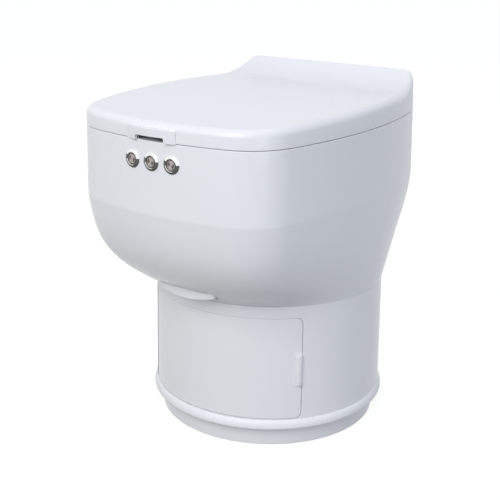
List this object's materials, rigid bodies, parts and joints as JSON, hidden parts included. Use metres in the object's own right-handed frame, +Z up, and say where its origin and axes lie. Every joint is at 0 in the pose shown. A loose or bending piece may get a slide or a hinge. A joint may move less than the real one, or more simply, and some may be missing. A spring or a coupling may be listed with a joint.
{
  "type": "waterless toilet",
  "caption": "Film-sealing waterless toilet: pedestal with a waste door, D-shaped body narrowing to it, hinged lid, push buttons and a sealing mechanism inside.",
  "frame": {"origin": "centre of the floor bolt circle, on the floor under the pedestal axis", "axes": "+Z up, -Y to the front, +X to the right seen from the front camera side"},
  "size_m": [0.3618, 0.4426, 0.5004],
  "materials": {
    "white_plastic": "smooth moulded gloss",
    "frame_plastic": "moulded satin",
    "bin_plastic": "moulded satin",
    "dark_plastic": "moulded matt",
    "gear_plastic": "moulded satin",
    "film": "glossy film",
    "rubber": "moulded matt",
    "silicone": "smooth matt",
    "steel": "brushed",
    "bezel_metal": "polished",
    "cap_metal": "fine brushed",
    "cast_metal": "milled",
    "heater": "plated",
    "board": "lacquered",
    "carbon": "granular"
  },
  "bodies": {
    "body": {"seat": "white_plastic", "seat_feet": "rubber", "hinge_shaft": "steel", "hinge_brackets": "white_plastic", "deck": "white_plastic", "deck_screws": "steel", "body_shell": "white_plastic", "bowl": "white_plastic", "film_cartridge": "film", "seal_frame": "frame_plastic", "guide_rods": "steel", "jaw_motor": "steel", "feed_motor": "steel", "shutter_frame": "frame_plastic", "switch_left": "bezel_metal", "switch_middle": "bezel_metal", "switch_right": "bezel_metal", "switch_nuts": "bezel_metal", "pedestal": "white_plastic", "door_hinge_pins": "steel", "magnet_catch": "dark_plastic", "flange_ring": "white_plastic", "plinth": "white_plastic", "base_screws": "steel", "waste_bin": "bin_plastic", "control_board": "board", "battery": "dark_plastic", "fan_housing": "dark_plastic", "carbon_filter": "carbon", "rear_grille": "white_plastic", "power_inlet": "dark_plastic"},
    "lid": {"lid": "white_plastic", "lid_bumpers": "rubber"},
    "door": {"door": "white_plastic", "door_pull": "white_plastic", "striker_plate": "steel"},
    "button_left": {"button_left": "cap_metal"},
    "button_middle": {"button_middle": "cap_metal"},
    "button_right": {"button_right": "cap_metal"},
    "shutter": {"shutter": "white_plastic"},
    "jaw_front": {"jaw_front": "cast_metal", "heater_bar": "heater"},
    "jaw_rear": {"jaw_rear": "cast_metal", "jaw_pad": "silicone"},
    "jaw_pinion": {"jaw_pinion": "gear_plastic"},
    "feed_roller_front": {"feed_roller_front": "rubber"},
    "feed_roller_rear": {"feed_roller_rear": "rubber"},
    "fan_rotor": {"fan_rotor": "dark_plastic"}
  },
  "joints": [
    {"name": "lid_hinge", "type": "hinge", "parent": "body", "child": "lid", "pos_m": [0, 0.1454, 0.48], "axis": [-1, 0, 0], "range_deg": [0, 100]},
    {"name": "door_hinge", "type": "hinge", "parent": "body", "child": "door", "pos_m": [-0.10879, -0.12339, 0.1191], "axis": [0, 0, -1], "range_deg": [0, 100]},
    {"name": "button_left_press", "type": "slide", "parent": "body", "child": "button_left", "axis": [0.0668, 0.9978, 0], "range_m": [0, 0.0015], "stiffness_N_per_m": 400},
    {"name": "button_middle_press", "type": "slide", "parent": "body", "child": "button_middle", "axis": [0, 1, 0], "range_m": [0, 0.0015], "stiffness_N_per_m": 400},
    {"name": "button_right_press", "type": "slide", "parent": "body", "child": "button_right", "axis": [-0.0668, 0.9978, 0], "range_m": [0, 0.0015], "stiffness_N_per_m": 400},
    {"name": "shutter_slide", "type": "slide", "parent": "body", "child": "shutter", "axis": [0, -1, 0], "range_m": [0, 0.12]},
    {"name": "jaw_front_slide", "type": "slide", "parent": "body", "child": "jaw_front", "axis": [0, 1, 0], "range_m": [0, 0.052]},
    {"name": "jaw_rear_slide", "type": "slide", "parent": "body", "child": "jaw_rear", "axis": [0, -1, 0], "range_m": [0, 0.052]},
    {"name": "pinion_spin", "type": "hinge", "parent": "body", "child": "jaw_pinion", "pos_m": [0.084, -0.02, 0.3], "axis": [0, 0, -1], "range_deg": [0, 298]},
    {"name": "roller_front_spin", "type": "hinge", "parent": "body", "child": "feed_roller_front", "pos_m": [0, -0.0303, 0.248], "axis": [-1, 0, 0], "continuous": true},
    {"name": "roller_rear_spin", "type": "hinge", "parent": "body", "child": "feed_roller_rear", "pos_m": [0, -0.0097, 0.248], "axis": [1, 0, 0], "continuous": true},
    {"name": "fan_spin", "type": "hinge", "parent": "body", "child": "fan_rotor", "pos_m": [0, 0.135, 0.395], "axis": [0, 1, 0], "continuous": true}
  ],
  "couplings": [
    {"joint": "jaw_rear_slide", "follows": "jaw_front_slide", "ratio": 1},
    {"joint": "pinion_spin", "follows": "jaw_front_slide", "rad_per_m": 100},
    {"joint": "roller_rear_spin", "follows": "roller_front_spin", "ratio": 1}
  ]
}
